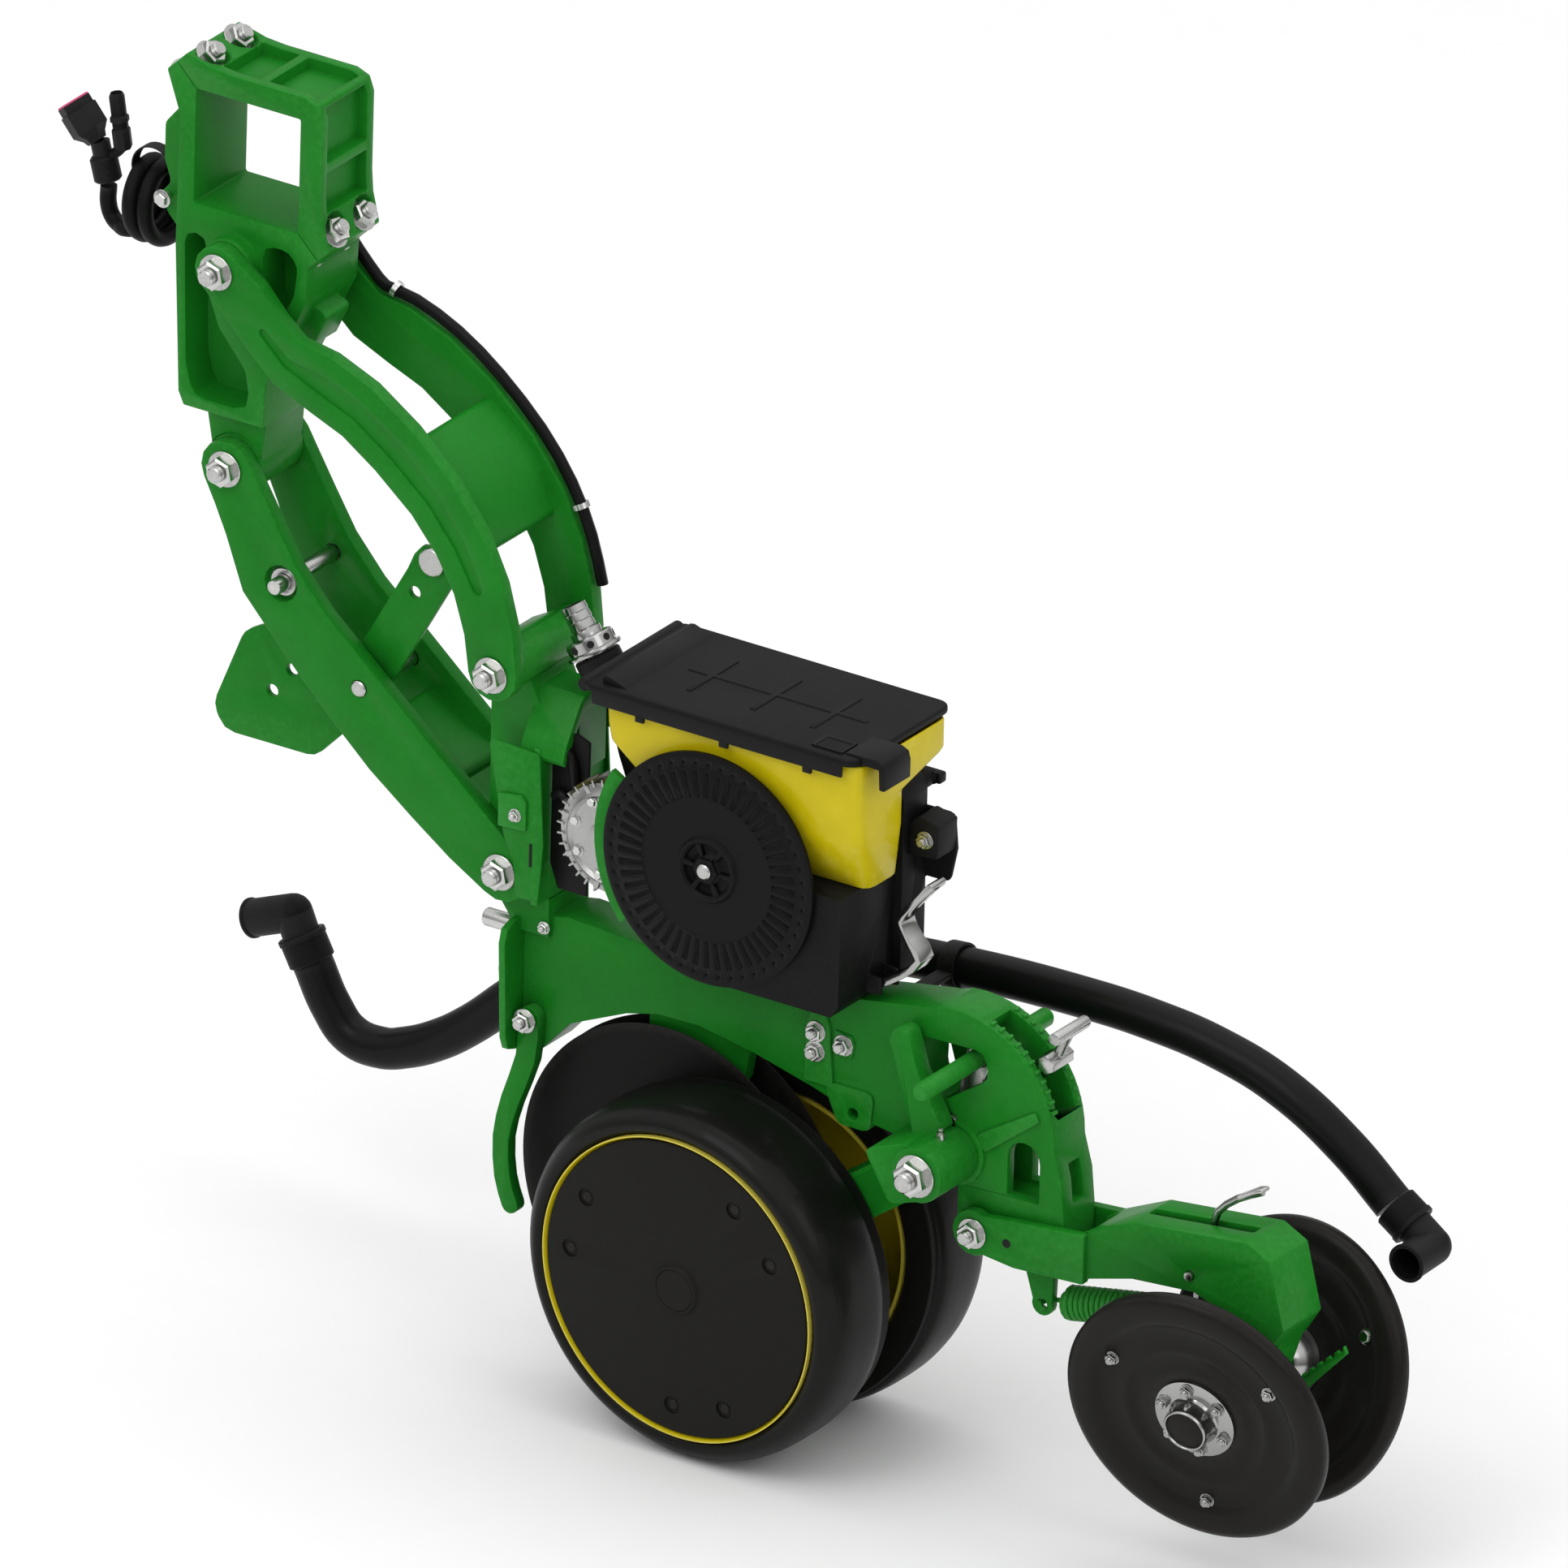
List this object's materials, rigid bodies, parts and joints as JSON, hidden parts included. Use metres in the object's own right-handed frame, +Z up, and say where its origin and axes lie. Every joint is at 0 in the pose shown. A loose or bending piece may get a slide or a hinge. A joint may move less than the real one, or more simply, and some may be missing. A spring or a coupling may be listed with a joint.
{
  "type": "corn planter row unit",
  "caption": "Planter row unit: square toolbar clamp, parallel arms, frame with seed hopper and meter, opener discs, gauge wheels, and sprung closing wheels.",
  "frame": {"origin": "centre of the square toolbar that the clamp grips, on the unit's centre plane", "axes": "+X rearwards along the direction of travel, +Y to the side away from the seed plate, +Z up"},
  "size_m": [1.6894, 0.3587, 1.4058],
  "materials": {
    "green_paint": "gloss paint on cast and pressed steel",
    "yellow_plastic": "smooth moulded yellow",
    "yellow_paint": "gloss paint",
    "black_plastic": "fine moulded texture",
    "black_rubber": "satin",
    "tyre_rubber": "smooth moulded tyre",
    "dark_steel": "darkened steel",
    "zinc": "bright plated steel",
    "cast_aluminium": "machined casting",
    "chrome_steel": "polished"
  },
  "bodies": {
    "toolbar_head": {"head_casting": "green_paint", "clamp_cap": "green_paint", "clamp_bolt_1": "zinc", "clamp_bolt_2": "zinc", "clamp_bolt_3": "zinc", "clamp_bolt_4": "zinc", "harness_coil": "black_rubber", "harness_tail": "black_rubber", "harness_splitter": "black_plastic", "connector_large": "black_plastic"},
    "lower_arms": {"lower_arm": "green_paint", "lower_front_bolt": "zinc", "lower_rear_bolt": "zinc", "arm_spacer": "zinc", "bracket_pin": "zinc", "force_bracket": "green_paint"},
    "upper_arms": {"upper_arm": "green_paint", "upper_front_bolt": "zinc", "upper_rear_bolt": "zinc", "arm_harness": "black_rubber"},
    "row_unit": {"row_frame": "green_paint", "side_cover_near": "green_paint", "side_cover_far": "green_paint", "rock_guard": "green_paint", "meter_housing": "black_plastic", "vacuum_housing": "black_plastic", "drive_motor": "cast_aluminium", "hopper": "yellow_plastic", "air_tube": "black_plastic", "nozzle": "chrome_steel", "seed_hose": "black_rubber", "hose_elbow_front": "black_plastic", "hose_elbow_rear": "black_plastic", "hose_bracket": "dark_steel", "gauge_pivot_bolt": "zinc", "closing_pivot_bolt": "zinc"},
    "lid": {"hopper_lid": "black_plastic"},
    "plate": {"seed_plate": "black_plastic"},
    "latch": {"meter_latch": "chrome_steel"},
    "tee": {"t_knob": "black_plastic"},
    "star": {"star_knob": "black_plastic"},
    "depth": {"depth_handle": "zinc", "depth_bar": "green_paint"},
    "disc_near": {"opener_disc_near": "dark_steel"},
    "disc_far": {"opener_disc_far": "dark_steel"},
    "gauge_near": {"gauge_arm_near": "green_paint"},
    "gauge_far": {"gauge_arm_far": "green_paint"},
    "wheel_near": {"gauge_tyre_near": "tyre_rubber", "gauge_rim_near": "yellow_paint", "gauge_cover_near": "black_plastic"},
    "wheel_far": {"gauge_tyre_far": "tyre_rubber", "gauge_rim_far": "yellow_paint", "gauge_cover_far": "black_plastic"},
    "closing": {"closing_frame": "green_paint"},
    "lever": {"closing_lever": "zinc"},
    "spring": {"closing_spring": "green_paint"},
    "closer_near": {"closing_wheel_near": "black_rubber", "closing_hub_near": "chrome_steel"},
    "closer_far": {"closing_wheel_far": "black_rubber", "closing_hub_far": "chrome_steel"}
  },
  "joints": [
    {"name": "lower_arm_lift", "type": "hinge", "parent": "toolbar_head", "child": "lower_arms", "pos_m": [-0.012, 0, -0.354], "axis": [0, -1, 0], "range_deg": [0, 40]},
    {"name": "upper_arm_lift", "type": "hinge", "parent": "toolbar_head", "child": "upper_arms", "pos_m": [-0.012, 0, -0.118], "axis": [0, -1, 0], "range_deg": [-1, 41]},
    {"name": "row_unit_pivot", "type": "hinge", "parent": "lower_arms", "child": "row_unit", "pos_m": [0.343, 0, -0.72], "axis": [0, -1, 0], "range_deg": [-41, 1]},
    {"name": "lid_hinge", "type": "hinge", "parent": "row_unit", "child": "lid", "pos_m": [0.462, 0, -0.46], "axis": [0, -1, 0], "range_deg": [0, 80]},
    {"name": "seed_plate_spin", "type": "hinge", "parent": "row_unit", "child": "plate", "pos_m": [0.628, -0.097, -0.624], "axis": [0, -1, 0], "continuous": true},
    {"name": "latch_hinge", "type": "hinge", "parent": "row_unit", "child": "latch", "pos_m": [0.8, -0.02, -0.733], "axis": [0, 1, 0], "range_deg": [0, 35]},
    {"name": "tee_turn", "type": "hinge", "parent": "row_unit", "child": "tee", "pos_m": [0.786, 0.07, -0.535], "axis": [0, 1, 0], "range_deg": [-90, 90]},
    {"name": "star_turn", "type": "hinge", "parent": "row_unit", "child": "star", "pos_m": [0.8, 0.07, -0.59], "axis": [0, 1, 0], "continuous": true},
    {"name": "depth_set", "type": "hinge", "parent": "row_unit", "child": "depth", "pos_m": [0.895, 0, -0.865], "axis": [0, -1, 0], "range_deg": [-5, 12]},
    {"name": "disc_near_spin", "type": "hinge", "parent": "row_unit", "child": "disc_near", "pos_m": [0.535, -0.0125, -1.054], "axis": [-0.0474, -0.9986, -0.0221], "continuous": true},
    {"name": "disc_far_spin", "type": "hinge", "parent": "row_unit", "child": "disc_far", "pos_m": [0.535, 0.0125, -1.054], "axis": [-0.0474, 0.9986, -0.0221], "continuous": true},
    {"name": "gauge_near_lift", "type": "hinge", "parent": "row_unit", "child": "gauge_near", "pos_m": [0.903, -0.05, -0.897], "axis": [0, 1, 0], "range_deg": [0, 10]},
    {"name": "gauge_wheel_near_spin", "type": "hinge", "parent": "gauge_near", "child": "wheel_near", "pos_m": [0.633, -0.087, -1.087], "axis": [-0.0435, -0.998, -0.0453], "continuous": true},
    {"name": "gauge_far_lift", "type": "hinge", "parent": "row_unit", "child": "gauge_far", "pos_m": [0.903, 0.05, -0.897], "axis": [0, 1, 0], "range_deg": [0, 10]},
    {"name": "gauge_wheel_far_spin", "type": "hinge", "parent": "gauge_far", "child": "wheel_far", "pos_m": [0.633, 0.087, -1.087], "axis": [-0.0435, 0.998, -0.0453], "continuous": true},
    {"name": "closing_lift", "type": "hinge", "parent": "row_unit", "child": "closing", "pos_m": [0.934, 0, -0.978], "axis": [0, -1, 0], "range_deg": [0, 14]},
    {"name": "lever_turn", "type": "hinge", "parent": "closing", "child": "lever", "pos_m": [1.2, 0, -0.957], "axis": [0, 1, 0], "range_deg": [-7, 7]},
    {"name": "spring_follow", "type": "hinge", "parent": "row_unit", "child": "spring", "pos_m": [0.997, 0, -1.057], "axis": [0, -1, 0], "range_deg": [-1, 19]},
    {"name": "closer_near_spin", "type": "hinge", "parent": "closing", "child": "closer_near", "pos_m": [1.248, -0.086, -1.085], "axis": [0.0837, -0.9671, -0.2402], "continuous": true},
    {"name": "closer_far_spin", "type": "hinge", "parent": "closing", "child": "closer_far", "pos_m": [1.248, 0.086, -1.085], "axis": [0.0837, 0.9671, -0.2402], "continuous": true}
  ],
  "couplings": [
    {"joint": "upper_arm_lift", "follows": "lower_arm_lift", "ratio": 1},
    {"joint": "row_unit_pivot", "follows": "lower_arm_lift", "ratio": -1},
    {"joint": "spring_follow", "follows": "closing_lift", "ratio": 1.22}
  ]
}
